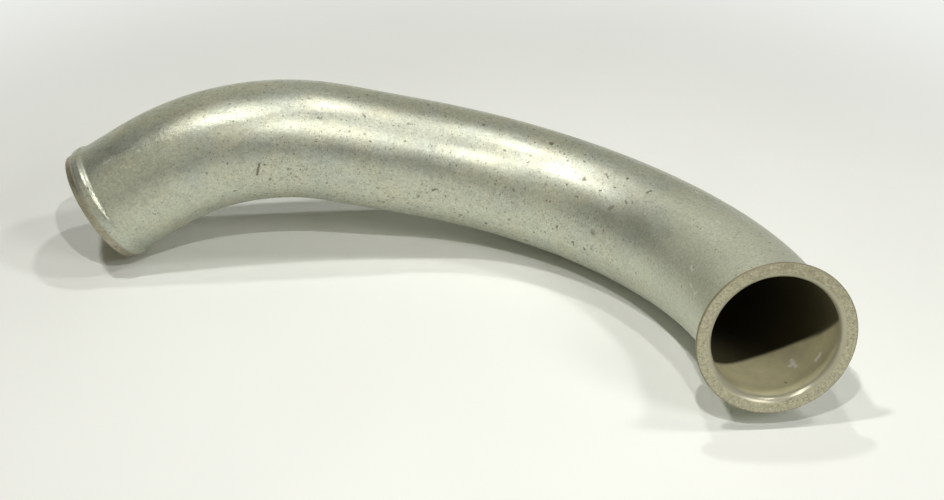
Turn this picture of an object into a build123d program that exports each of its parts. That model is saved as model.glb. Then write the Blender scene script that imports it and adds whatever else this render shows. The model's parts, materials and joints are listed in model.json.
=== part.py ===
"""Cold air intake pipe: one length of thin steel tube, bent twice on a mandrel.

One end has a low rolled bead that keeps a rubber hose on, the other is turned out into a flat flange.
Millimetres, +Z up. The pipe lies on the plane Z = 0 the way it comes to rest: it rocks on the underside of
its long bend and the rim of its beaded end, which balances the flange just clear. The flange faces -Y.
"""
import os

from build123d import *

# Tube
TUBE_OD = 44.8
WALL = 1.2

# Centre line, from the face of the flange to the rim of the beaded end
FLANGE_LEG = 17.0
LONG_BEND_RADIUS = 109.5
LONG_BEND_ANGLE = 90.0
MIDDLE_LEG = 31.5
BEND_TWIST = 90.0  # turn about the middle leg from the plane of the long bend to that of the short bend
SHORT_BEND_RADIUS = 98.0
SHORT_BEND_ANGLE = 42.5
BEAD_LEG = 23.5

# Flange: the wall is turned out square and keeps its thickness
FLANGE_BACK_RADIUS = 1.3  # inside of the fold, behind the flange
FLANGE_FACE_WIDTH = 2.9  # flat ring outside the fold
FLANGE_EDGE_ROUND = 0.5

# Hose bead: the wall is rolled outwards in a low wave with a flat crest, listed from the rim inwards
BEAD_HEIGHT = 0.8
BEAD_LIP = 1.4  # straight lip outside the wave
BEAD_RISE = 2.6  # from the lip up to the crest
BEAD_CREST = 1.6
BEAD_RUN_OUT = 2.4  # from the crest back to the plain tube
LIP_EDGE_ROUND = 0.4

ROCKING_STEPS = 200

tube_radius = TUBE_OD / 2
bore_radius = tube_radius - WALL
flange_shoulder = FLANGE_BACK_RADIUS + WALL  # outside of the fold, at the mouth of the bore
flange_radius = bore_radius + flange_shoulder + FLANGE_FACE_WIDTH
bead_length = BEAD_LIP + BEAD_RISE + BEAD_CREST + BEAD_RUN_OUT


# Centre line of the plain tube between the flange and the bead, with the long bend level
with BuildLine() as level_run:
    flange_leg = Line((0, flange_shoulder), (0, FLANGE_LEG))
    long_bend = JernArc(flange_leg @ 1, flange_leg % 1, LONG_BEND_RADIUS, LONG_BEND_ANGLE)
    middle_leg = Line(long_bend @ 1, long_bend @ 1 + (long_bend % 1) * MIDDLE_LEG)

with BuildLine() as drop_run:
    short_bend = JernArc((0, 0), (1, 0), SHORT_BEND_RADIUS, SHORT_BEND_ANGLE)
    bead_leg = Line(short_bend @ 1, short_bend @ 1 + (short_bend % 1) * (BEAD_LEG - bead_length))

middle_axis = Axis(middle_leg @ 1, middle_leg % 1)
drop_plane = Plane(
    origin=middle_axis.position,
    x_dir=middle_axis.direction,
    z_dir=Vector(0, 0, 1).rotate(middle_axis, -BEND_TWIST),
)
route = Wire(level_run.edges() + drop_plane.from_local_coords(drop_run.line).edges())

# Planes through the axis of each end: local X is the radius, local Y the distance in from the end
flange_plane = Plane.XY
bead_heading = route % 1
bead_plane = Plane(
    origin=route @ 1 + bead_heading * bead_length,
    x_dir=drop_plane.z_dir,
    z_dir=drop_plane.z_dir.cross(bead_heading * -1),
)


def wave(start: Vector, end: Vector):
    """Two equal arcs that leave start and reach end parallel to the tube's axis."""
    middle = (start + end) / 2
    TangentArc(start, middle, tangent=(0, 1))
    TangentArc(end, middle, tangent=(0, -1))


def beaded_wall(radius: float):
    """One side of the tube's wall, from the rim over the bead to the plain tube."""
    rim = Vector(radius, 0)
    lip = Vector(radius, BEAD_LIP)
    crest = Vector(radius + BEAD_HEIGHT, BEAD_LIP + BEAD_RISE)
    crest_end = crest + (0, BEAD_CREST)
    plain = Vector(radius, bead_length)
    Line(rim, lip)
    wave(lip, crest)
    Line(crest, crest_end)
    wave(crest_end, plain)


with BuildPart() as bent_tube:
    # Plain tube
    with BuildSketch(Plane(origin=route @ 0, z_dir=route % 0)):
        Circle(tube_radius)
        Circle(bore_radius, mode=Mode.SUBTRACT)
    sweep(path=route)

    # Flange
    with BuildSketch(flange_plane) as flange_section:
        with BuildLine():
            mouth = TangentArc(
                (bore_radius, flange_shoulder), (bore_radius + flange_shoulder, 0), tangent=(0, -1)
            )
            fold = TangentArc(
                (tube_radius, flange_shoulder), (tube_radius + FLANGE_BACK_RADIUS, WALL), tangent=(0, -1)
            )
            Polyline(mouth @ 1, (flange_radius, 0), (flange_radius, WALL), fold @ 1)
            Line(mouth @ 0, fold @ 0)
        make_face()
        fillet(flange_section.vertices().group_by(Axis.X)[-1], FLANGE_EDGE_ROUND)
    revolve(axis=Axis(flange_plane.origin, flange_plane.y_dir))

    # Hose bead
    with BuildSketch(bead_plane) as bead_section:
        with BuildLine():
            beaded_wall(tube_radius)
            beaded_wall(bore_radius)
            Line((bore_radius, 0), (tube_radius, 0))
            Line((bore_radius, bead_length), (tube_radius, bead_length))
        make_face()
        fillet(bead_section.vertices().group_by(Axis.Y)[0], LIP_EDGE_ROUND)
    revolve(axis=Axis(bead_plane.origin, bead_plane.y_dir))


# Rest: the pipe rocks on two round rings. Each has a centre, an axis, a radius and the radius of its section
bend_ring = (long_bend.arc_center, Vector(0, 0, 1), LONG_BEND_RADIUS, tube_radius)
rim_ring = (
    bead_plane.origin + bead_plane.y_dir * LIP_EDGE_ROUND,
    bead_plane.y_dir,
    tube_radius - LIP_EDGE_ROUND,
    LIP_EDGE_ROUND,
)
mass_centre = bent_tube.part.center(CenterOf.MASS)


def lowest_point(up: Vector, centre: Vector, axis: Vector, ring_radius: float, section_radius: float):
    """The point of a ring that a floor square to up would touch."""
    across = (up - axis * up.dot(axis)).normalized()
    return centre - across * ring_radius - up * section_radius


# Laid flat to begin with, it tips a little at a time to the side where its centre of mass overhangs
# the line between its feet, which moves the feet, until nothing overhangs
towards_bend, towards_bead = long_bend @ 0.5 - flange_plane.origin, bead_plane.origin - flange_plane.origin
up = towards_bend.cross(towards_bead).normalized()
for step in range(ROCKING_STEPS):
    bend_foot, bead_foot = lowest_point(up, *bend_ring), lowest_point(up, *rim_ring)
    along = (bead_foot - bend_foot).normalized()
    up = (up - along * up.dot(along)).normalized()
    lever = mass_centre - bend_foot
    overhang = lever - along * lever.dot(along) - up * lever.dot(up)
    up = (up - overhang / (LONG_BEND_RADIUS * 5)).normalized()

inwards = flange_plane.y_dir
ahead = (inwards - up * inwards.dot(up)).normalized()
floor = Plane(origin=bead_foot, x_dir=ahead.cross(up), z_dir=up)
settled = floor.to_local_coords(bent_tube.part)
extent = settled.bounding_box()
middle_of_base = Vector(extent.center().X, extent.center().Y, extent.min.Z)

with BuildPart() as intake_pipe:
    add(settled.moved(Location(middle_of_base * -1)))

intake_pipe.part.label = "intake_pipe"
os.makedirs("parts", exist_ok=True)
export_step(intake_pipe.part, "parts/intake_pipe.step")


def in_row_frame(point: Vector):
    """Where a point of the bent tube lies once the pipe is at rest."""
    return tuple(round(value, 3) for value in floor.to_local_coords(point) - middle_of_base)


# Places of the two ends and of the feet, for fitting other parts
for name, plane in (("flange", flange_plane), ("bead", bead_plane)):
    outside = plane.origin - plane.y_dir * 100
    print(name, "end", in_row_frame(plane.origin), "and 100 mm outside it", in_row_frame(outside))
print("feet", in_row_frame(bend_foot), in_row_frame(bead_foot), "centre of mass", in_row_frame(mass_centre))
print("volume", intake_pipe.part.volume, "centre line", route.length + flange_shoulder + bead_length)
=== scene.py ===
"""Dresses the bent intake pipe in its dull plating and stands it on a pale floor, as a Blender add-on.

Everything is in metres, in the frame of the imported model, whose only piece is the pipe itself.
"""
import json
import math

import bpy
from mathutils import Matrix, Vector

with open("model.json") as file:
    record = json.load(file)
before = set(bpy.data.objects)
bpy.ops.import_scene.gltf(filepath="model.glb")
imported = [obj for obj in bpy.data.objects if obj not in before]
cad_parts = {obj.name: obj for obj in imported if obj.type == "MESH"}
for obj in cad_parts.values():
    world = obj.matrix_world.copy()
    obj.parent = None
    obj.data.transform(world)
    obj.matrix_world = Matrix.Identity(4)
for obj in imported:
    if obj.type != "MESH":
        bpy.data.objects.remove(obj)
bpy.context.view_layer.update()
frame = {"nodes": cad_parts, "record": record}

bl_info = {
    "name": "Cold Air Intake Pipe",
    "version": (1, 0, 0),
    "blender": (4, 5, 0),
    "location": "View3D > Sidebar > Intake Pipe",
    "description": "Gives a bent intake pipe its worn plating, its coated bore and a plain studio",
    "category": "Material",
}

MM = 0.001


# Node helpers
def feed(tree, socket, value):
    """Links an output to a socket, or sets the socket to a plain value."""
    if isinstance(value, bpy.types.NodeSocket):
        tree.links.new(value, socket)
    else:
        socket.default_value = value


def add(tree, kind, inputs=None, **settings):
    """Adds a node with its settings, and feeds its inputs by name or number."""
    node = tree.nodes.new(kind)
    for name, value in settings.items():
        setattr(node, name, value)
    for key, value in (inputs or {}).items():
        feed(tree, node.inputs[key], value)
    return node


def maths(tree, operation, *values, clamp=False):
    """A Math node's result."""
    node = add(tree, "ShaderNodeMath", dict(enumerate(values)), operation=operation, use_clamp=clamp)
    return node.outputs[0]


def product(tree, first, *others):
    """Numbers or masks, multiplied."""
    for other in others:
        first = maths(tree, "MULTIPLY", first, other)
    return first


def largest(tree, first, *others):
    """The largest of some numbers or masks."""
    for other in others:
        first = maths(tree, "MAXIMUM", first, other)
    return first


def vectors(tree, operation, *values):
    """A Vector Math node's result, a number for dot products and lengths."""
    node = add(tree, "ShaderNodeVectorMath", dict(enumerate(values)), operation=operation)
    return node.outputs["Value" if operation in {"DOT_PRODUCT", "LENGTH", "DISTANCE"} else "Vector"]


def scaled(tree, vector, factor):
    """A vector or a colour, times a number."""
    node = add(tree, "ShaderNodeVectorMath", {0: vector, "Scale": factor}, operation="SCALE")
    return node.outputs["Vector"]


def joined(tree, x, y, z=0.0):
    """A vector made of its parts."""
    return add(tree, "ShaderNodeCombineXYZ", {"X": x, "Y": y, "Z": z}).outputs[0]


def rise(tree, value, start, end, low=0.0, high=1.0):
    """Goes smoothly from low to high as the value passes from start to end."""
    node = add(
        tree,
        "ShaderNodeMapRange",
        {"Value": value, "From Min": start, "From Max": end, "To Min": low, "To Max": high},
        interpolation_type="SMOOTHSTEP",
    )
    return node.outputs["Result"]


def mix(tree, data_type, socket_type, factor, first, second):
    """A Mix node's result, by way of its sockets for one type of data."""
    node = add(tree, "ShaderNodeMix", data_type=data_type)
    sockets = {(socket.name, socket.type): socket for socket in node.inputs}
    feed(tree, sockets["Factor", "VALUE"], factor)
    feed(tree, sockets["A", socket_type], first)
    feed(tree, sockets["B", socket_type], second)
    return next(socket for socket in node.outputs if socket.type == socket_type)


def mix_colour(tree, factor, first, second):
    """One colour turned into another."""
    return mix(tree, "RGBA", "RGBA", factor, first, second)


def mix_value(tree, factor, first, second):
    """One number turned into another."""
    return mix(tree, "FLOAT", "VALUE", factor, first, second)


def cover(tree, under, mask, colour, share=1.0):
    """A colour laid over another where a mask is white, no thicker than the share."""
    if share < 1.0:
        mask = product(tree, mask, share)
    return mix_colour(tree, mask, under, (*colour, 1))


def choose(tree, past, first, second):
    """The first number up to a boundary and the second past it."""
    return mix_value(tree, maths(tree, "GREATER_THAN", past, 0.0), first, second)


def noise(tree, place, scale, detail=2.0, roughness=0.5, output="Fac"):
    """Soft random cloud, whose scale is in features per metre."""
    node = add(
        tree,
        "ShaderNodeTexNoise",
        {"Vector": place, "Scale": scale, "Detail": detail, "Roughness": roughness},
    )
    return node.outputs[output]


def shaken(tree, place, cloud, amount):
    """A place moved about at random, by a coloured cloud."""
    shake = vectors(tree, "SUBTRACT", cloud, (0.5, 0.5, 0.5))
    return vectors(tree, "MULTIPLY_ADD", shake, (amount, amount, amount), place)


def seen_rays(tree):
    """Mask of what the camera sees, straight or mirrored, and not of what only sheds light."""
    path = add(tree, "ShaderNodeLightPath").outputs
    return largest(tree, path["Is Camera Ray"], path["Is Glossy Ray"], path["Is Transmission Ray"])


def emptied(owner):
    """The node tree of a new material or world, without its first nodes."""
    owner.use_nodes = True
    owner.node_tree.nodes.clear()
    return owner.node_tree


def group(name, inputs, outputs):
    """A new shader node group with its named sockets."""
    tree = bpy.data.node_groups.new(name, "ShaderNodeTree")
    for direction, sockets in (("INPUT", inputs), ("OUTPUT", outputs)):
        for label, kind, default in sockets:
            socket = tree.interface.new_socket(label, in_out=direction, socket_type="NodeSocket" + kind)
            if default is not None:
                socket.default_value = default
    return tree, tree.nodes.new("NodeGroupInput").outputs, tree.nodes.new("NodeGroupOutput").inputs


def use(tree, made, **inputs):
    """Places a node group and returns its outputs."""
    node = add(tree, "ShaderNodeGroup", node_tree=made)
    for key, value in inputs.items():
        feed(tree, node.inputs[key.replace("_", " ")], value)
    return node.outputs


# Sizes and colours
class TubeSettings(bpy.types.PropertyGroup):
    long_bend_radius: bpy.props.FloatProperty(
        name="Long Bend Radius", description="Centre line radius of the bend by the flange",
        default=109.5 * MM, subtype="DISTANCE", unit="LENGTH",
    )
    short_bend_radius: bpy.props.FloatProperty(
        name="Short Bend Radius", description="Centre line radius of the bend by the bead",
        default=98 * MM, subtype="DISTANCE", unit="LENGTH",
    )
    short_bend_angle: bpy.props.FloatProperty(
        name="Short Bend Angle", description="Turn of the bend by the bead",
        default=math.radians(42.5), subtype="ANGLE", unit="ROTATION",
    )
    flange_leg: bpy.props.FloatProperty(
        name="Flange Leg", description="Straight run between the face of the flange and the long bend",
        default=17 * MM, subtype="DISTANCE", unit="LENGTH",
    )
    middle_leg: bpy.props.FloatProperty(
        name="Middle Leg", description="Straight run between the two bends",
        default=31.5 * MM, subtype="DISTANCE", unit="LENGTH",
    )
    bead_leg: bpy.props.FloatProperty(
        name="Bead Leg", description="Straight run between the short bend and the beaded rim",
        default=23.5 * MM, subtype="DISTANCE", unit="LENGTH",
    )
    tube_radius: bpy.props.FloatProperty(
        name="Tube Radius", description="Outside radius of the plain tube",
        default=22.4 * MM, subtype="DISTANCE", unit="LENGTH",
    )
    wall: bpy.props.FloatProperty(
        name="Wall", description="Thickness of the tube's wall",
        default=1.2 * MM, subtype="DISTANCE", unit="LENGTH",
    )
    shoulder_depth: bpy.props.FloatProperty(
        name="Shoulder Depth", description="Radius by which the bore turns out into the flange face",
        default=2.5 * MM, subtype="DISTANCE", unit="LENGTH",
    )
    wave_start: bpy.props.FloatProperty(
        name="Wave Start", description="Where the bead begins to rise, from the rim",
        default=1.4 * MM, subtype="DISTANCE", unit="LENGTH",
    )
    crest_start: bpy.props.FloatProperty(
        name="Crest Start", description="Where the bead reaches its crest, from the rim",
        default=4 * MM, subtype="DISTANCE", unit="LENGTH",
    )
    crest_end: bpy.props.FloatProperty(
        name="Crest End", description="Where the bead leaves its crest, from the rim",
        default=5.6 * MM, subtype="DISTANCE", unit="LENGTH",
    )
    wave_end: bpy.props.FloatProperty(
        name="Wave End", description="Where the bead runs out into the plain tube, from the rim",
        default=8 * MM, subtype="DISTANCE", unit="LENGTH",
    )
    wave_height: bpy.props.FloatProperty(
        name="Wave Height", description="How far the bead stands out of the tube",
        default=0.8 * MM, subtype="DISTANCE", unit="LENGTH",
    )
    plating: bpy.props.FloatVectorProperty(
        name="Plating", description="Dull zinc of the outside", size=3, subtype="COLOR",
        default=(0.53, 0.545, 0.445), min=0, max=1,
    )
    cool_plating: bpy.props.FloatVectorProperty(
        name="Cool Plating", description="Blue grey patches of the outside", size=3, subtype="COLOR",
        default=(0.46, 0.50, 0.455), min=0, max=1,
    )
    warm_plating: bpy.props.FloatVectorProperty(
        name="Warm Plating", description="Cream patches of the outside", size=3, subtype="COLOR",
        default=(0.57, 0.555, 0.42), min=0, max=1,
    )
    dirt: bpy.props.FloatVectorProperty(
        name="Dirt", description="Dirt in the pits and specks", size=3, subtype="COLOR",
        default=(0.10, 0.09, 0.05), min=0, max=1,
    )
    scuff: bpy.props.FloatVectorProperty(
        name="Scuffs", description="Bare bright metal of the scuffs", size=3, subtype="COLOR",
        default=(0.80, 0.80, 0.72), min=0, max=1,
    )
    lip: bpy.props.FloatVectorProperty(
        name="Lip", description="Tan lip outside the bead", size=3, subtype="COLOR",
        default=(0.37, 0.335, 0.245), min=0, max=1,
    )
    flange_face: bpy.props.FloatVectorProperty(
        name="Flange Face", description="Scraped ring of the flange", size=3, subtype="COLOR",
        default=(0.50, 0.475, 0.335), min=0, max=1,
    )
    # The rust colour also paints the shade on the flange's outer edge
    rust: bpy.props.FloatVectorProperty(
        name="Rust", description="Brown specks and stain of the flange", size=3, subtype="COLOR",
        default=(0.20, 0.165, 0.095), min=0, max=1,
    )
    shoulder: bpy.props.FloatVectorProperty(
        name="Shoulder", description="Smooth turned-out mouth of the bore", size=3, subtype="COLOR",
        default=(0.47, 0.45, 0.335), min=0, max=1,
    )
    bore_coat: bpy.props.FloatVectorProperty(
        name="Bore", description="Tan film inside the ends of the tube", size=3, subtype="COLOR",
        default=(0.77, 0.71, 0.445), min=0, max=1,
    )
    bore_chip: bpy.props.FloatVectorProperty(
        name="Bore Chips", description="Bare bright chips in the film of the bore", size=3, subtype="COLOR",
        default=(1.0, 0.94, 0.84), min=0, max=1,
    )
    # Painted shadow and shade: the dark colour laid in the bore past the edge of the front lamp's light and
    # deep inside the tube
    painted_bore_shade: bpy.props.FloatVectorProperty(
        name="Painted Bore Shade", description="Dark film deep inside the tube", size=3, subtype="COLOR",
        default=(0.08, 0.07, 0.035), min=0, max=1,
    )
    plating_roughness: bpy.props.FloatProperty(
        name="Plating Roughness", description="How far the plating spreads a reflection",
        default=0.39, min=0, max=1, subtype="FACTOR",
    )
    plating_metal: bpy.props.FloatProperty(
        name="Plating Metal", description="Share of the plating that shines as bare metal does",
        default=0.86, min=0, max=1, subtype="FACTOR",
    )


class StageSettings(bpy.types.PropertyGroup):
    floor: bpy.props.FloatVectorProperty(
        name="Floor", description="Pale floor round the pipe", size=3, subtype="COLOR",
        default=(0.985, 1.0, 0.965), min=0, max=1,
    )
    floor_radius: bpy.props.FloatProperty(
        name="Floor Radius", description="Reach of the round floor", default=4.0,
        subtype="DISTANCE", unit="LENGTH",
    )
    backdrop: bpy.props.FloatVectorProperty(
        name="Backdrop", description="Plain pale tone of the floor far from the pipe",
        size=3, subtype="COLOR", default=(0.87, 0.885, 0.85), min=0, max=1,
    )
    backdrop_start: bpy.props.FloatProperty(
        name="Backdrop Start", description="Where the floor begins to turn into the backdrop",
        default=0.18, subtype="DISTANCE", unit="LENGTH",
    )
    room: bpy.props.FloatVectorProperty(
        name="Room", description="Dim light of the room in front and overhead", size=3, subtype="COLOR",
        default=(0.035, 0.0355, 0.031), min=0, max=1,
    )
    window: bpy.props.FloatVectorProperty(
        name="Window", description="Brighter light from behind and from the left", size=3, subtype="COLOR",
        default=(0.55, 0.545, 0.455), min=0, max=1,
    )
    lens: bpy.props.FloatProperty(
        name="Lens", description="Focal length on a 36 mm wide picture", default=55.81,
        subtype="DISTANCE_CAMERA", unit="CAMERA",
    )


# The straightened tube
def centre_line(settings):
    """Places, directions and running lengths of the pipe's centre line, from the face of the flange."""
    mounts = {mount["name"]: mount for mount in frame["record"]["mounts"]}
    flange, face = mounts["flange_bore"], mounts["flange_face"]
    into = -Vector(flange["axis"])
    bead_way = Vector(mounts["hose_end_bore"]["axis"])
    start = Vector(flange["pos_m"])
    start += into * (Vector(face["pos_m"]) - start).dot(into)

    way = Matrix.Rotation(settings.short_bend_angle, 3, into) @ bead_way
    up = into.cross(way)
    long_centre = start + into * settings.flange_leg + way * settings.long_bend_radius
    middle_start = long_centre + into * settings.long_bend_radius
    middle_end = middle_start + way * settings.middle_leg
    short_centre = middle_end - up * settings.short_bend_radius
    bead_up = up * math.cos(settings.short_bend_angle) + way * math.sin(settings.short_bend_angle)
    bead_start = short_centre + bead_up * settings.short_bend_radius

    long_start = settings.flange_leg
    middle_from = long_start + settings.long_bend_radius * math.pi / 2
    short_from = middle_from + settings.middle_leg
    bead_from = short_from + settings.short_bend_radius * settings.short_bend_angle
    return {
        "start": start, "into": into, "way": way, "up": up, "bead_way": bead_way, "bead_up": bead_up,
        "long_centre": long_centre, "middle_start": middle_start, "middle_end": middle_end,
        "short_centre": short_centre, "bead_start": bead_start,
        "long_start": long_start, "middle_from": middle_from, "short_from": short_from,
        "bead_from": bead_from, "length": bead_from + settings.bead_leg,
    }


def straightened_tube(settings):
    """Node group: where a point would be if the pipe were straight, so that a finish follows its bends.

    Place has the way towards the centre of the long bend as X, the way up as Y and the distance from
    the beaded rim as Z.
    """
    line = centre_line(settings)
    tree, _, result = group(
        "Straightened Tube",
        [],
        [("Place", "Vector", None), ("From Bead", "Float", None), ("From Flange", "Float", None),
         ("Radius", "Float", None), ("Turn", "Float", None)],
    )
    point = add(tree, "ShaderNodeTexCoord").outputs["Object"]

    def reach(origin, direction):
        """How far past an origin the point is, in a direction."""
        return vectors(tree, "DOT_PRODUCT", vectors(tree, "SUBTRACT", point, line[origin]), direction)

    def bend(centre, outwards, onwards, radius, begin):
        """Distance from a bend's centre line towards its centre, and the length run so far."""
        across, ahead = reach(centre, outwards), reach(centre, onwards)
        swing = maths(tree, "ARCTAN2", ahead, across)
        spread = vectors(tree, "LENGTH", joined(tree, across, ahead))
        return maths(tree, "SUBTRACT", radius, spread), maths(tree, "MULTIPLY_ADD", swing, radius, begin)

    into, way, up = line["into"], line["way"], line["up"]
    flat_up = reach("start", up)
    flat_in = reach("middle_start", -into)
    leg_run = reach("start", into)
    long_in, long_run = bend("long_centre", -way, into, settings.long_bend_radius, line["long_start"])
    middle_run = maths(tree, "ADD", reach("middle_start", way), line["middle_from"])
    short_down, short_run = bend("short_centre", up, way, settings.short_bend_radius, line["short_from"])
    short_up = maths(tree, "MULTIPLY", short_down, -1.0)
    bead_run = maths(tree, "ADD", reach("bead_start", line["bead_way"]), line["bead_from"])
    bead_up = reach("bead_start", line["bead_up"])

    past_leg = maths(tree, "SUBTRACT", leg_run, line["long_start"])
    past_long = reach("middle_start", way)
    past_middle = reach("middle_end", way)
    past_short = reach("bead_start", line["bead_way"])
    run = choose(tree, past_leg, leg_run, long_run)
    run = choose(tree, past_long, run, middle_run)
    run = choose(tree, past_middle, run, short_run)
    run = choose(tree, past_short, run, bead_run)
    inwards = choose(tree, past_leg, reach("start", way), long_in)
    inwards = choose(tree, past_long, inwards, flat_in)
    upwards = choose(tree, past_middle, flat_up, short_up)
    upwards = choose(tree, past_short, upwards, bead_up)

    from_bead = maths(tree, "SUBTRACT", line["length"], run)
    feed(tree, result["Place"], joined(tree, inwards, upwards, from_bead))
    feed(tree, result["From Bead"], from_bead)
    feed(tree, result["From Flange"], run)
    feed(tree, result["Radius"], vectors(tree, "LENGTH", joined(tree, inwards, upwards)))
    feed(tree, result["Turn"], maths(tree, "ARCTAN2", upwards, inwards))
    return tree


# Wear
def specks():
    """Node group: scattered specks of many sizes with ragged outlines, more where Amount is high."""
    tree, given, result = group(
        "Specks",
        [("Place", "Vector", None), ("Spacing", "Float", 1.0 * MM), ("Amount", "Float", 0.5)],
        [("Mask", "Float", None)],
    )
    place = scaled(tree, given["Place"], maths(tree, "DIVIDE", 1.0, given["Spacing"]))
    ragged = shaken(tree, place, noise(tree, place, 3.0, 1.0, output="Color"), 0.5)
    cells = add(tree, "ShaderNodeTexVoronoi", {"Vector": ragged, "Scale": 1.0}).outputs
    lot = add(tree, "ShaderNodeSeparateColor", {0: cells["Color"]}).outputs
    size = maths(tree, "MULTIPLY_ADD", product(tree, lot["Green"], lot["Green"]), 0.30, 0.16)
    speck = rise(tree, cells["Distance"], size, product(tree, size, 0.4))
    there = maths(tree, "LESS_THAN", lot["Red"], given["Amount"])
    strength = maths(tree, "MULTIPLY_ADD", lot["Blue"], 0.6, 0.4)
    feed(tree, result["Mask"], product(tree, speck, there, strength))
    return tree


def scratches(tube_radius):
    """Node group: short thin scores, each in a long cell of its own that lies at the given angle."""
    tree, given, result = group(
        "Scratches",
        [("From Bead", "Float", 0.0), ("Turn", "Float", 0.0), ("Angle", "Float", 0.0),
         ("Length", "Float", 12.0 * MM), ("Share", "Float", 0.2), ("Width", "Float", 0.06)],
        [("Mask", "Float", None)],
    )
    unrolled = joined(tree, given["From Bead"], product(tree, given["Turn"], tube_radius))
    turned = add(
        tree, "ShaderNodeVectorRotate", {"Vector": unrolled, "Angle": given["Angle"]},
        rotation_type="Z_AXIS",
    ).outputs[0]
    along = maths(tree, "DIVIDE", 1.0, given["Length"])
    slender = 6.0
    sized = vectors(tree, "MULTIPLY", turned, joined(tree, along, product(tree, along, slender)))
    cells = add(tree, "ShaderNodeTexVoronoi", {"Vector": sized, "Scale": 1.0}, voronoi_dimensions="2D")
    lot = add(tree, "ShaderNodeSeparateColor", {0: cells.outputs["Color"]}).outputs
    offset = vectors(tree, "SUBTRACT", sized, cells.outputs["Position"])
    parts = add(tree, "ShaderNodeSeparateXYZ", {0: offset}).outputs
    across = maths(tree, "ABSOLUTE", parts["Y"])
    ends = rise(tree, maths(tree, "ABSOLUTE", parts["X"]), 0.42, 0.1)
    line = product(tree, rise(tree, across, given["Width"], 0.0), ends)
    there = maths(tree, "LESS_THAN", lot["Red"], given["Share"])
    feed(tree, result["Mask"], product(tree, line, there))
    return tree


def grain():
    """Node group: fine crystalline roughness, as a height and a speckle of light and dark."""
    tree, given, result = group(
        "Grain",
        [("Place", "Vector", None), ("Size", "Float", 0.8 * MM)],
        [("Height", "Float", None), ("Speckle", "Float", None)],
    )
    scale = maths(tree, "DIVIDE", 1.0, given["Size"])
    coarse = noise(tree, given["Place"], scale, 3.0, 0.6)
    fine = noise(tree, given["Place"], product(tree, scale, 2.7), 2.0, 0.6)
    feed(tree, result["Height"], maths(tree, "MULTIPLY_ADD", fine, 0.5, coarse))
    speckle = maths(tree, "MULTIPLY_ADD", fine, 0.5, product(tree, coarse, 0.5))
    feed(tree, result["Speckle"], rise(tree, speckle, 0.32, 0.68))
    return tree


def stroke():
    """Node group: one mark, a straight stroke with round ends between two places."""
    tree, given, result = group(
        "Stroke",
        [("Place", "Vector", None), ("Start", "Vector", None), ("End", "Vector", None),
         ("Width", "Float", 0.3 * MM)],
        [("Mask", "Float", None)],
    )
    way = vectors(tree, "SUBTRACT", given["End"], given["Start"])
    reach = vectors(tree, "SUBTRACT", given["Place"], given["Start"])
    ahead, whole = vectors(tree, "DOT_PRODUCT", reach, way), vectors(tree, "DOT_PRODUCT", way, way)
    nearest = scaled(tree, way, maths(tree, "DIVIDE", ahead, whole, clamp=True))
    gap = vectors(tree, "DISTANCE", reach, nearest)
    faint, full = product(tree, given["Width"], 0.75), product(tree, given["Width"], 0.3)
    feed(tree, result["Mask"], rise(tree, gap, faint, full))
    return tree


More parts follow.
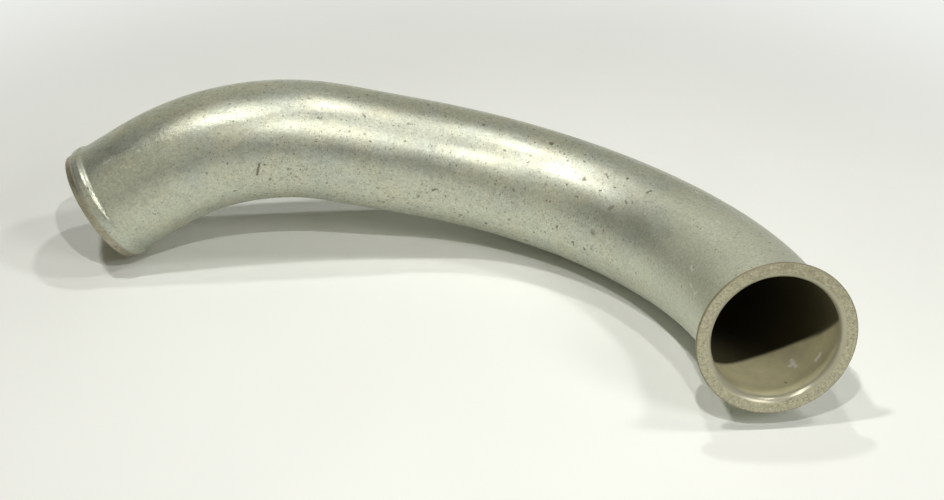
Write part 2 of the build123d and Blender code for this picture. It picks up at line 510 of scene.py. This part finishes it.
# Single marks, each from one place to another with its width, in millimetres
MARKS = {
    "dirt": (
        ((-59.7, 34.1, 44.9), (-60.8, 34.2, 40.3), 0.85), ((-57.8, 34.1, 44.6), (-57.2, 34.1, 44.4), 0.60),
        ((-69.6, 35.6, 33.1), (-69.0, 35.5, 33.3), 0.75), ((5.5, 31.8, 32.4), (4.1, 31.9, 32.0), 0.79),
        ((14.3, 32.3, 20.3), (14.7, 32.1, 20.4), 0.96), ((48.5, 13.9, 24.8), (48.5, 13.9, 24.4), 0.88),
        ((66.5, 17.7, 43.8), (66.9, 15.7, 43.2), 0.70), ((63.4, 11.8, 40.1), (63.8, 11.7, 40.2), 0.79),
        ((59.6, 26.0, 45.0), (59.9, 25.4, 44.8), 0.64), ((33.3, 25.2, 34.4), (33.7, 25.1, 34.4), 0.70),
        ((55.5, 14.1, 36.7), (55.8, 13.9, 36.8), 0.70), ((78.8, 3.3, 43.4), (80.3, 3.7, 43.9), 0.88),
        ((71.1, 3.8, 40.2), (71.6, 2.7, 40.0), 0.61), ((73.3, 2.1, 40.7), (73.5, 1.5, 40.6), 0.53),
        ((68.3, 11.0, 42.0), (68.6, 10.5, 41.9), 0.61), ((31.0, 35.4, 45.8), (31.3, 35.1, 45.6), 0.56),
        ((42.9, 37.8, 47.4), (42.9, 37.3, 47.3), 0.56), ((52.1, 19.3, 39.4), (52.4, 18.9, 39.2), 0.49),
    ),
    "rust": (
        ((60.0, 4.1, 27.6), (60.3, 3.8, 27.3), 2.0), ((65.6, 4.6, 36.7), (67.0, 4.3, 37.6), 1.18),
    ),
    "scuff": (
        ((85.7, -38.6, 38.5), (85.7, -40.2, 38.3), 0.94), ((84.4, -43.9, 35.2), (84.6, -46.0, 35.3), 0.72),
        ((85.2, -50.2, 36.5), (84.5, -49.6, 34.6), 0.64), ((95.8, 1.6, 44.4), (96.5, -0.2, 44.5), 0.56),
        ((97.6, -23.2, 46.6), (98.2, -24.9, 46.8), 0.55), ((98.4, -14.1, 46.0), (99.7, -13.3, 45.9), 0.42),
        ((-117.0, 41.3, 43.7), (-114.3, 41.5, 45.2), 0.59), ((12.9, 34.8, 43.6), (16.8, 36.3, 45.6), 0.43),
        ((11.4, 34.5, 43.0), (14.5, 35.4, 44.5), 0.38),
    ),
    "bore chip": (
        ((116.8, -60.7, 11.4), (118.0, -60.0, 12.0), 1.56),
        ((118.0, -60.0, 12.0), (118.0, -57.8, 11.7), 1.27),
        ((118.0, -60.0, 12.0), (118.1, -63.0, 12.6), 1.27),
        ((123.0, -66.9, 18.0), (124.3, -66.1, 19.9), 1.41),
    ),
    "bore dirt": (
        ((112.8, -68.8, 11.1), (113.2, -69.7, 11.4), 0.49),
        ((109.0, -78.2, 10.0), (111.3, -78.0, 10.5), 0.59),
        ((112.2, -78.0, 10.8), (113.5, -78.0, 11.1), 0.49),
    ),
}
MARK_RAGGEDNESS = 1.4 * MM

# Layers of specks: spacing in millimetres, share of cells added in the thick and found anywhere, darkness
SPECK_LAYERS = ((0.9, 1.2, 0.14, 0.7), (1.6, 0.85, 0.07, 0.75), (2.9, 0.22, 0.02, 0.85))

# Families of fine scores: angle to the tube in radians and length in metres
SCORES = ((0.25, 13 * MM), (1.0, 9 * MM), (-0.8, 8 * MM))
SCORE_SHARE = 0.14


def marked(tree, place):
    """Masks of the single marks with ragged edges, by kind."""
    made = stroke()
    point = add(tree, "ShaderNodeTexCoord").outputs["Object"]
    ragged = shaken(tree, point, noise(tree, place, 1300.0, 2.0, output="Color"), MARK_RAGGEDNESS)
    masks = {}
    for kind, strokes in MARKS.items():
        masks[kind] = 0.0
        for start, end, width in strokes:
            ends = {"Start": Vector(start) * MM, "End": Vector(end) * MM}
            single = use(tree, made, Place=ragged, Width=width * MM, **ends)["Mask"]
            masks[kind] = largest(tree, single, masks[kind])
    return masks


def speckled(tree, tube, made, marks):
    """Masks of all the dirt and of the pits, which are the specks of the widest layer.

    Specks lie thickest half way along, low on the inside of the long bend, and thin out to both ends.
    """
    place = tube["Place"]
    thick = product(
        tree,
        rise(tree, tube["From Bead"], 10 * MM, 80 * MM),
        rise(tree, tube["From Flange"], 45 * MM, 115 * MM),
    )
    below = rise(tree, maths(tree, "COSINE", maths(tree, "ADD", tube["Turn"], 0.45)), 0.3, 0.95, 0.5, 1.0)
    patch = product(tree, thick, below, rise(tree, noise(tree, place, 75.0, 3.0), 0.28, 0.56))
    dirt = product(tree, marks, 0.75)
    for spacing, most, least, darkness in SPECK_LAYERS:
        shifted = vectors(tree, "ADD", place, (spacing * 0.3, spacing * 0.1, spacing * 0.2))
        amount = maths(tree, "MULTIPLY_ADD", patch, most, least)
        speck = use(tree, made, Place=shifted, Spacing=spacing * MM, Amount=amount)["Mask"]
        dirt = largest(tree, dirt, product(tree, speck, darkness))
    return dirt, speck


def scored(tree, tube, made):
    """Mask of the fine scores."""
    run = {"From_Bead": tube["From Bead"], "Turn": tube["Turn"], "Share": SCORE_SHARE}
    return largest(tree, *(
        use(tree, made, Angle=angle, Length=length, **run)["Mask"] for angle, length in SCORES
    ))


# The pipe
# Edges between the parts of the finish: where each part begins and where it is whole
FACE_EDGE = (1.2 * MM, 2.0 * MM)  # out from the bore
SHOULDER_EDGE = (2.9 * MM, 2.0 * MM)  # from the flange face
# Painted shade on the flange's outer edge begins and is whole at these radii
FLANGE_RIM_SHADE_EDGE = (26.0 * MM, 26.4 * MM)  # from the centre line
LIP_EDGE = (4.2 * MM, 2.6 * MM)  # from the beaded rim
MATT_EDGE = (92 * MM, 42 * MM)  # from the flange face

# Shares of a colour that covers another one
# The rim share is how thick the painted shade on the flange's outer edge lies
LIP_SHARE, RIM_SHADE_SHARE = 0.85, 0.8

# The film of the bore is left lit on the side that this turn points to, as deep as the reach; past that a
# painted shadow follows the edge of the front lamp's light
LIT_SIDE_TURN = 2.05
LIT_REACH = 27.5 * MM

# Roughness and share of metal
DIRT_FINISH = (0.7, 0.2)
BORE_FINISH = (0.6, 0.0)
SHOULDER_FINISH = (0.30, 0.35)
FACE_FINISH = (0.55, 0.3)

GRAIN_SIZE = 1.0 * MM
RELIEF = 0.17 * MM


def wall_sides(tree, settings, tube):
    """Masks of the inside of the wall, the flange face and the shoulder.

    The middle of the wall, over the bead and round the fold of the flange, parts inside and outside.
    """
    radius, from_bead, from_flange = tube["Radius"], tube["From Bead"], tube["From Flange"]
    bore_radius = settings.tube_radius - settings.wall
    wave = product(
        tree,
        rise(tree, from_bead, settings.wave_start, settings.crest_start),
        rise(tree, from_bead, settings.wave_end, settings.crest_end),
    )
    mid_radius = settings.tube_radius - settings.wall / 2
    mid_wall = maths(tree, "MULTIPLY_ADD", wave, settings.wave_height, mid_radius)
    inside_tube = maths(tree, "LESS_THAN", radius, mid_wall)

    fold_radius = bore_radius + settings.shoulder_depth
    across = maths(tree, "MINIMUM", maths(tree, "SUBTRACT", radius, fold_radius), 0.0)
    along = maths(tree, "SUBTRACT", from_flange, settings.shoulder_depth)
    from_fold = vectors(tree, "LENGTH", joined(tree, across, along))
    by_flange = maths(tree, "LESS_THAN", from_flange, settings.shoulder_depth)
    in_mouth = maths(tree, "GREATER_THAN", from_fold, settings.shoulder_depth - settings.wall / 2)
    inside = mix_value(tree, by_flange, inside_tube, in_mouth)

    face_edge = [bore_radius + out for out in FACE_EDGE]
    on_face = product(tree, by_flange, in_mouth, rise(tree, radius, *face_edge))
    on_shoulder = product(tree, inside, rise(tree, from_flange, *SHOULDER_EDGE))
    return inside, on_face, on_shoulder


def plating_colour(tree, settings, tube, matt, speckle):
    """Plating with cool and warm patches and a tan lip, under a fine speckle and a mottle."""
    place = tube["Place"]
    cool = rise(tree, noise(tree, place, 60.0, 1.0), 0.40, 0.70)
    elsewhere = vectors(tree, "ADD", place, (0.3, 0.1, 0.7))
    warm = rise(tree, noise(tree, elsewhere, 95.0, 1.0), 0.42, 0.72)
    patchy = maths(tree, "MULTIPLY_ADD", matt, -0.35, 0.45)
    plating = cover(tree, (*settings.plating, 1), product(tree, cool, patchy), settings.cool_plating)
    plating = cover(tree, plating, product(tree, warm, patchy), settings.warm_plating)
    plating = cover(tree, plating, rise(tree, tube["From Bead"], *LIP_EDGE), settings.lip, LIP_SHARE)

    sparkle = rise(tree, speckle, 0.0, 1.0, 0.85, 1.13)
    cloud = rise(tree, noise(tree, place, 330.0, 3.0, 0.7), 0.46, 0.68)
    depth = maths(tree, "MULTIPLY_ADD", matt, 0.11, -0.13)
    mottle = maths(tree, "MULTIPLY_ADD", depth, cloud, 1.015)
    chalk = maths(tree, "MULTIPLY_ADD", matt, 0.05, 1.0)
    return scaled(tree, plating, product(tree, sparkle, mottle, chalk))


def face_colour(tree, settings, tube, made, speckle, rim):
    """Flange face, brown specks all over it, a stain at the top and painted shade on its outer edge in the
    rust colour.
    """
    place = tube["Place"]
    face = scaled(tree, tuple(settings.flange_face), rise(tree, speckle, 0.0, 1.0, 0.70, 1.21))
    elsewhere = vectors(tree, "ADD", place, (0.2, 0.8, 0.5))
    brown = use(tree, made, Place=elsewhere, Spacing=1.0 * MM, Amount=0.7)["Mask"]
    upper = rise(tree, maths(tree, "SINE", tube["Turn"]), 0.55, 1.0)
    stain = product(tree, upper, rise(tree, noise(tree, place, 300.0, 3.0, 0.6), 0.35, 0.65))
    rust_and_rim_shade = largest(
        tree, product(tree, brown, 0.75), product(tree, stain, 0.4), product(tree, rim, RIM_SHADE_SHARE)
    )
    return cover(tree, face, rust_and_rim_shade, settings.rust)


def bore_colour(tree, settings, tube, marks, on_shoulder):
    """Tan film by the mouths of the bore, painted shade near the mouths and deep down, a painted shadow
    past the edge of the front lamp's light, and the smooth shoulder.
    """
    from_bead, from_flange = tube["From Bead"], tube["From Flange"]
    depth = maths(tree, "MINIMUM", from_flange, from_bead)
    # Mottled film, with painted shade that darkens it towards the mouths
    film = product(
        tree,
        rise(tree, noise(tree, tube["Place"], 140.0, 3.0, 0.6), 0.3, 0.75, 1.0, 0.86),
        rise(tree, depth, 2.5 * MM, 14 * MM, 0.70, 1.0),
    )
    coat = scaled(tree, tuple(settings.bore_coat), film)
    # Painted shadow: dark past the line where the front lamp's light in the bore ends, and from the bead
    # end only from 14 to 40 mm in on
    side = maths(tree, "COSINE", maths(tree, "ADD", tube["Turn"], LIT_SIDE_TURN))
    past_lit_edge = maths(tree, "SUBTRACT", from_flange, product(tree, side, LIT_REACH))
    deep = maths(
        tree, "MINIMUM",
        rise(tree, past_lit_edge, 0.0, 3.0 * MM, 0.0, 0.95),
        rise(tree, from_bead, 14 * MM, 40 * MM),
    )
    coat = cover(tree, coat, deep, settings.painted_bore_shade)
    coat = cover(tree, coat, on_shoulder, settings.shoulder)
    coat = cover(tree, coat, marks["bore dirt"], settings.dirt, 0.8)
    return cover(tree, coat, marks["bore chip"], settings.bore_chip)


def pipe_material(settings):
    """Worn plating outside, a scraped flange face and a coated bore, matt towards the flange."""
    material = bpy.data.materials.new("worn_plated_steel")
    tree = emptied(material)
    tube = use(tree, straightened_tube(settings))
    place = tube["Place"]
    speck_group, grain_group = specks(), grain()
    inside, on_face, on_shoulder = wall_sides(tree, settings, tube)
    marks = marked(tree, place)

    matt = rise(tree, tube["From Flange"], *MATT_EDGE)
    crystals = use(tree, grain_group, Place=place, Size=GRAIN_SIZE)
    outside = plating_colour(tree, settings, tube, matt, crystals["Speckle"])
    dirt, pits = speckled(tree, tube, speck_group, marks["dirt"])
    scores = scored(tree, tube, scratches(settings.tube_radius))
    # Painted shade: the flange's outer edge darkened in the rust colour
    rim = rise(tree, tube["Radius"], *FLANGE_RIM_SHADE_EDGE)
    for mask, paint, share in (
        (dirt, settings.dirt, 1.0),
        (marks["rust"], settings.rust, 0.55),
        (scores, settings.dirt, 0.2),
        (marks["scuff"], settings.scuff, 0.75),
        # painted shade on the flange's outer edge
        (rim, settings.rust, RIM_SHADE_SHARE),
    ):
        outside = cover(tree, outside, mask, paint, share)

    scrape = use(tree, grain_group, Place=place, Size=GRAIN_SIZE)
    face = face_colour(tree, settings, tube, speck_group, scrape["Speckle"], rim)
    bore = bore_colour(tree, settings, tube, marks, on_shoulder)
    colour = mix_colour(tree, inside, outside, mix_colour(tree, on_face, bore, face))

    def finish(plating, column):
        """Roughness or share of metal, over all the parts of the finish."""
        worn = mix_value(tree, dirt, plating, DIRT_FINISH[column])
        mouth = mix_value(tree, on_shoulder, BORE_FINISH[column], SHOULDER_FINISH[column])
        mouth = mix_value(tree, on_face, mouth, FACE_FINISH[column])
        return mix_value(tree, inside, worn, mouth)

    streaks = vectors(tree, "MULTIPLY", place, (1.0, 1.0, 0.4))
    dull = rise(tree, noise(tree, streaks, 150.0, 2.0, 0.6), 0.42, 0.66)
    streaky = maths(tree, "MULTIPLY_ADD", dull, 0.07, settings.plating_roughness - 0.03)
    roughness = finish(maths(tree, "MULTIPLY_ADD", matt, 0.10, streaky), 0)
    metal = finish(maths(tree, "MULTIPLY_ADD", matt, -0.12, settings.plating_metal), 1)

    height = maths(tree, "MULTIPLY_ADD", pits, -0.35, crystals["Height"])
    height = maths(tree, "MULTIPLY_ADD", scores, -0.25, height)
    grit = mix_value(tree, on_face, 0.15, 1.6)
    height = mix_value(tree, inside, height, product(tree, scrape["Height"], grit))
    bump = add(tree, "ShaderNodeBump", {"Strength": 0.5, "Distance": RELIEF, "Height": height})
    shader = add(
        tree, "ShaderNodeBsdfPrincipled",
        {"Base Color": colour, "Roughness": roughness, "Metallic": metal, "Normal": bump.outputs[0]},
    )
    add(tree, "ShaderNodeOutputMaterial", {"Surface": shader.outputs[0]})
    return material


class INTAKE_OT_finish_pipe(bpy.types.Operator):
    """Give the pipe its worn plating, scraped flange face and coated bore"""
    bl_idname = "intake.finish_pipe"
    bl_label = "Finish the Pipe"
    bl_options = {"REGISTER", "UNDO"}

    def execute(self, context):
        pipe = frame["nodes"]["intake_pipe"]
        if not pipe.material_slots:
            raise RuntimeError("the pipe has no material slot to fill")
        material = pipe_material(context.scene.intake_tube)
        for material_slot in pipe.material_slots:
            material_slot.material = material
        return {"FINISHED"}


# The stage
# Lamps, each with its place in metres, its power in watts and its size in metres
LAMPS = (
    ("lamp_above", (0.056, 0.127, 0.480), 0.39, 0.03),
    ("lamp_left", (-0.345, -0.024, 1.100), 3.4, 0.08),
    ("lamp_front", (0.002, -0.249, 0.433), 0.56, 0.012),
    ("lamp_right", (0.337, -0.057, 0.573), 0.68, 0.08),
    ("lamp_fill", (0.500, -0.550, 0.550), 1.7, 0.3),
)
LAMP_COLOUR = (1.0, 0.99, 0.95)

# Directions of the two bright sides of the room
WINDOW_WAY = Vector((-0.15, 0.92, 0.34)).normalized()
LEFT_WALL_WAY = Vector((-0.62, -0.60, 0.50)).normalized()
UNSEEN_LIGHT = 0.5  # share of the room's light that falls on things

FLOOR_CORNERS = 96
FLOOR_SHADE = 0.975
BACKDROP_END = 2.3  # times the distance where it starts

CAMERA_PLACE = (-0.0307, -0.4423, 0.3056)
CAMERA_TURN = (57.736, -0.414, -5.713)  # degrees
PICTURE_WIDTH = 36.0  # millimetres


def floor_material(settings):
    """Pale floor, faintly uneven, that far from the pipe turns into a plain pale backdrop."""
    material = bpy.data.materials.new("pale_floor")
    tree = emptied(material)
    place = add(tree, "ShaderNodeTexCoord").outputs["Object"]
    cloud = rise(tree, noise(tree, place, 9.0, 3.0), 0.35, 0.65)
    shade = [channel * FLOOR_SHADE for channel in settings.floor]
    colour = cover(tree, (*settings.floor, 1), cloud, shade)
    grit = noise(tree, place, 900.0, 2.0)
    bump = add(tree, "ShaderNodeBump", {"Strength": 0.05, "Distance": 0.2 * MM, "Height": grit})
    near = add(
        tree, "ShaderNodeBsdfPrincipled",
        {"Base Color": colour, "Roughness": 0.75, "Normal": bump.outputs[0]},
    )
    backdrop = add(tree, "ShaderNodeEmission", {"Color": (*settings.backdrop, 1), "Strength": 1.0})
    start = settings.backdrop_start
    far = rise(tree, vectors(tree, "LENGTH", place), start, start * BACKDROP_END)
    share = product(tree, far, seen_rays(tree))
    shader = add(tree, "ShaderNodeMixShader", {0: share, 1: near.outputs[0], 2: backdrop.outputs[0]})
    add(tree, "ShaderNodeOutputMaterial", {"Surface": shader.outputs[0]})
    return material


def lay_floor(scene, settings):
    """Round pale floor under the pipe."""
    turns = [math.tau * corner / FLOOR_CORNERS for corner in range(FLOOR_CORNERS)]
    radius = settings.floor_radius
    ring = [(radius * math.cos(turn), radius * math.sin(turn), 0.0) for turn in turns]
    mesh = bpy.data.meshes.new("floor")
    mesh.from_pydata(ring, [], [tuple(range(FLOOR_CORNERS))])
    mesh.materials.append(floor_material(settings))
    floor = bpy.data.objects.new("floor", mesh)
    scene.collection.objects.link(floor)


def light_room(scene, settings):
    """Dim room, brighter behind and on the left, that meets the floor in the tone of the backdrop."""
    scene.world = bpy.data.worlds.new("room")
    tree = emptied(scene.world)
    way = add(tree, "ShaderNodeTexCoord").outputs["Generated"]
    parts = add(tree, "ShaderNodeSeparateXYZ", {0: way}).outputs
    behind = product(tree, rise(tree, parts["Y"], -0.1, 0.7), rise(tree, parts["Z"], 0.9, 0.2))
    window = rise(tree, vectors(tree, "DOT_PRODUCT", way, WINDOW_WAY), 0.6, 1.0)
    wall = rise(tree, vectors(tree, "DOT_PRODUCT", way, LEFT_WALL_WAY), 0.75, 1.0)
    glow = largest(tree, product(tree, behind, 0.35), window, wall)
    sky = cover(tree, (*settings.room, 1), glow, settings.window)
    sky = cover(tree, sky, rise(tree, parts["Z"], 0.08, 0.01), settings.backdrop)
    strength = mix_value(tree, seen_rays(tree), UNSEEN_LIGHT, 1.0)
    background = add(tree, "ShaderNodeBackground", {"Color": sky, "Strength": strength})
    add(tree, "ShaderNodeOutputWorld", {"Surface": background.outputs[0]})


def hang_lamps(scene):
    """Round lamps that all point at the pipe."""
    for name, place, power, size in LAMPS:
        light = bpy.data.lights.new(name, "AREA")
        light.shape, light.size, light.energy = "DISK", size, power
        light.color = LAMP_COLOUR
        lamp = bpy.data.objects.new(name, light)
        lamp.location = place
        lamp.rotation_euler = (-Vector(place)).to_track_quat("-Z", "Y").to_euler()
        scene.collection.objects.link(lamp)


def place_camera(scene, settings):
    """Camera at the photo's angle."""
    lens = bpy.data.cameras.new("camera")
    lens.lens, lens.sensor_width = settings.lens, PICTURE_WIDTH
    camera = bpy.data.objects.new("camera", lens)
    camera.location = CAMERA_PLACE
    camera.rotation_euler = [math.radians(angle) for angle in CAMERA_TURN]
    scene.collection.objects.link(camera)
    scene.camera = camera


class INTAKE_OT_set_stage(bpy.types.Operator):
    """Lay the pale floor, light the room and place the camera"""
    bl_idname = "intake.set_stage"
    bl_label = "Set the Stage"
    bl_options = {"REGISTER", "UNDO"}

    def execute(self, context):
        scene, settings = context.scene, context.scene.intake_stage
        lay_floor(scene, settings)
        light_room(scene, settings)
        hang_lamps(scene)
        place_camera(scene, settings)
        scene.view_settings.view_transform = "Standard"
        return {"FINISHED"}


class INTAKE_PT_panel(bpy.types.Panel):
    """Sizes, colours and steps of the intake pipe"""
    bl_label = "Cold Air Intake Pipe"
    bl_space_type = "VIEW_3D"
    bl_region_type = "UI"
    bl_category = "Intake Pipe"

    def draw(self, context):
        for settings, step in (
            (context.scene.intake_tube, INTAKE_OT_finish_pipe),
            (context.scene.intake_stage, INTAKE_OT_set_stage),
        ):
            box = self.layout.box()
            for name in settings.__annotations__:
                box.prop(settings, name)
            box.operator(step.bl_idname)


CLASSES = (TubeSettings, StageSettings, INTAKE_OT_finish_pipe, INTAKE_OT_set_stage, INTAKE_PT_panel)


def register():
    for cls in CLASSES:
        bpy.utils.register_class(cls)
    bpy.types.Scene.intake_tube = bpy.props.PointerProperty(type=TubeSettings)
    bpy.types.Scene.intake_stage = bpy.props.PointerProperty(type=StageSettings)


def unregister():
    del bpy.types.Scene.intake_stage
    del bpy.types.Scene.intake_tube
    for cls in reversed(CLASSES):
        bpy.utils.unregister_class(cls)


def main():
    register()
    bpy.ops.intake.finish_pipe()
    bpy.ops.intake.set_stage()


if __name__ == "__main__":
    main()
